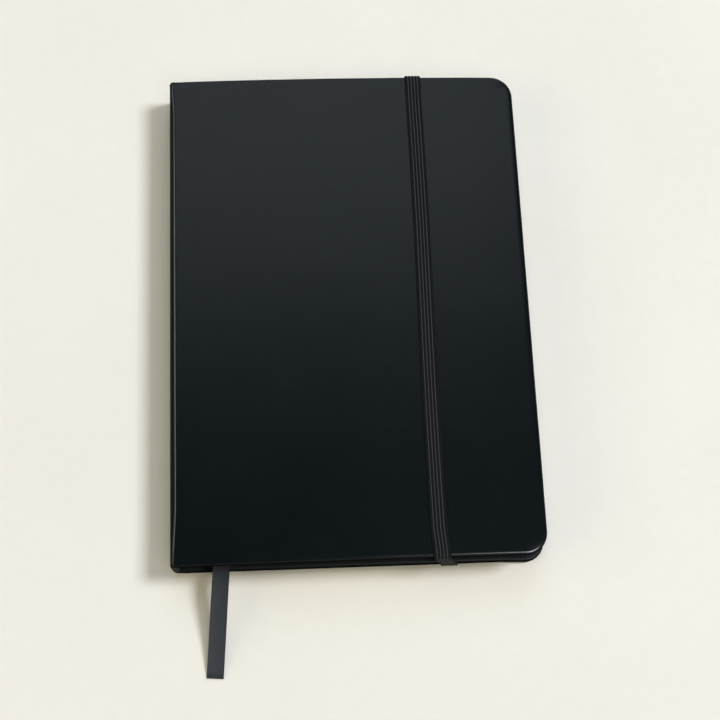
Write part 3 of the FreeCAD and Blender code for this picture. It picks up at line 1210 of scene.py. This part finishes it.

# %% [markdown]
# The ribbon is a rayon satin: long floats with a fine rib across, and a tight plain edge. The sealed line
# near the cut is darker and a little glossy. The part near the pages is painted darker too: painted shade
# from the cover's edge above it. The weave reads the ribbon's own UV map, because it has to follow the
# ribbon down its slope.

# %% Ribbon
weft_pitch = 0.28
warp_pitch = 1 / 11
# Millimetres of painted shade on the ribbon where it leaves the pages.
painted_shade_reach = 7
ribbon_satin = Finish("ribbon_satin", (0.034, 0.038, 0.045), Specular_IOR_Level=0.12)
weave = ribbon_satin.add("ShaderNodeUVMap", {"uv_map": "weave"})
weave_across = ribbon_satin.part(weave, "X")
weave_along = ribbon_satin.part(weave, "Y")
weft = ribbon_satin.wave(weave_along, weft_pitch)
warp = ribbon_satin.wave(weave_across, warp_pitch)
at_edge = weave_across.size().over(woven_inner)
seal = weave_along.over((ribbon_length - seal_from_end) / MM)
yarn = ribbon_satin.noise(900, 2)
# Painted shade: the first millimetres out of the book are darkened as if the cover's edge shades them.
painted_shade_near_pages = 1 / (1 + (weave_along / painted_shade_reach) ** 2)
dark_yarn_and_painted_shade = weft * 0.3 + yarn * 0.3 + at_edge * 0.2 + seal * 0.3 + painted_shade_near_pages * 0.7
ribbon_satin.colour(1 - dark_yarn_and_painted_shade, (0.012, 0.016, 0.021), (0.048, 0.053, 0.066))
ribbon_satin.roughness(0.5 - weft * 0.08 - seal * 0.1)
ribbon_satin.relief(weft * 0.5 + warp * (0.3 + at_edge * 0.4), 0.03 * MM, 0.6)
dress(ribbon_satin, ribbon_marker)

# %% Ribbon between the pages
inner_ribbon = Finish("inner_ribbon_satin", (0.034, 0.038, 0.045), Roughness=0.45)
inner_weft = inner_ribbon.wave(inner_ribbon.axis("Y"), weft_pitch * MM)
inner_ribbon.colour(inner_weft, (0.026, 0.029, 0.035), (0.042, 0.047, 0.055))
inner_ribbon.relief(inner_weft, 0.03 * MM, 0.6)
dress(inner_ribbon, frame["nodes"]["ribbon_inner"], frame["nodes"]["ribbon_anchor"])

# %% [markdown]
# Pages are cream wood-free paper, ruled with pale grey lines. On the edges of the block each sheet shows as
# a hair line, a little uneven, because no stack of sheets is cut quite alike. A regular stripe would look
# printed, so the lines are a noise that is stretched until it runs level along the edge.

# %% Paper
ruling_pitch = 6 * MM
ruling_width = 0.18 * MM
ruling_grey = (0.35, 0.36, 0.38, 1)
ruling_strength = 0.35


def make_paper(name, light, shade, ruled):
    paper = Finish(name, light, Roughness=0.85)
    fibres = paper.noise(700, 4)
    if ruled:
        line = (paper.axis("Y") * (math.pi / ruling_pitch)).sine().size()
        drawn = 1 - line.over(math.pi * ruling_width / ruling_pitch / 2)
        tinted = paper.blend_colours(fibres, (*shade, 1), (*light, 1))
        lined = paper.blend_colours(drawn * ruling_strength, tinted, ruling_grey)
        paper.feed(paper.shader.inputs["Base Color"], lined)
    else:
        cloud = paper.noise(30, 2)
        paper.colour(fibres * 0.6 + cloud * 0.4, shade, light)
    paper.relief(fibres, 0.02 * MM, 0.5)
    return paper


page_paper = make_paper("page_paper", (0.80, 0.755, 0.63), (0.74, 0.695, 0.575), ruled=True)
endpaper = make_paper("endpaper", (0.78, 0.73, 0.60), (0.72, 0.67, 0.55), ruled=False)
dress(page_paper, *page_sheets)
dress(endpaper, front_flyleaf_sheet, back_flyleaf_sheet, front_pastedown_sheet, back_pastedown_sheet)
dress(endpaper, front_endpaper_fold, back_endpaper_fold)

# %% Edges of the block
page_stack = Finish("page_stack", (0.80, 0.755, 0.63), Roughness=0.85)
level_noise = page_stack.noise(1, 2, page_stack.stretched((25, 25, 8500)))
broad_noise = page_stack.noise(1, 2, page_stack.stretched((60, 60, 1400)))
page_stack.colour(level_noise * 0.7 + broad_noise * 0.3, (0.60, 0.55, 0.44), (0.84, 0.80, 0.69))
page_stack.relief(level_noise, 0.06 * MM, 0.7)
sections = [node for name, node in frame["nodes"].items() if name.startswith("section_")]
dress(page_stack, *sections)
print("sections of pages:", len(sections))

# %% [markdown]
# What the book hides still has its own finish: grey millboard with flecks, the open cotton weave of the
# spine lining, and waxed linen thread. Plain greys would do while the book is shut, but these parts show
# when a cover opens.

# %% Board, lining and thread
greyboard = Finish("greyboard", (0.36, 0.34, 0.31), Roughness=0.9)
flecks = greyboard.noise(1500, 3)
greyboard.colour(flecks, (0.27, 0.255, 0.23), (0.42, 0.40, 0.37))
greyboard.relief(flecks, 0.04 * MM, 0.6)
dress(greyboard, front_board_panel, frame["nodes"]["back_board"], frame["nodes"]["spine_strip"])

mull_pitch = 0.8 * MM
mull = Finish("mull", (0.72, 0.70, 0.64), Roughness=0.9)
mull_y = (mull.axis("Y") * (2 * math.pi / mull_pitch)).sine()
mull_z = (mull.axis("Z") * (2 * math.pi / mull_pitch)).sine()
open_weave = mull_y * mull_z * 0.5 + 0.5
mull.colour(open_weave, (0.55, 0.53, 0.47), (0.75, 0.73, 0.67))
mull.relief(open_weave, 0.1 * MM, 0.8)
dress(mull, frame["nodes"]["spine_lining"])

thread = Finish("thread", (0.80, 0.78, 0.72), Roughness=0.6)
twist = thread.wave(thread.axis("Z") + thread.axis("Y") * 0.8, 0.35 * MM)
thread.colour(twist, (0.62, 0.60, 0.54), (0.82, 0.80, 0.74))
thread.relief(twist, 0.06 * MM, 0.8)
dress(thread, frame["nodes"]["sewing_threads"])

# %% [markdown]
# The floor is a pale warm plaster. One flat colour would look like no surface at all. It stays plain, with
# only a breath of unevenness in its tone.

# %% Floor
plaster = Finish("pale_plaster", (0.80, 0.785, 0.745), Roughness=0.75)
tone = plaster.noise(14, 5)
speckle = plaster.noise(260, 4)
plaster.colour(tone * 0.7 + speckle * 0.3, (0.77, 0.75, 0.70), (0.87, 0.86, 0.83))
plaster.relief(speckle, 0.2 * MM, 0.25)
dress(plaster, floor)
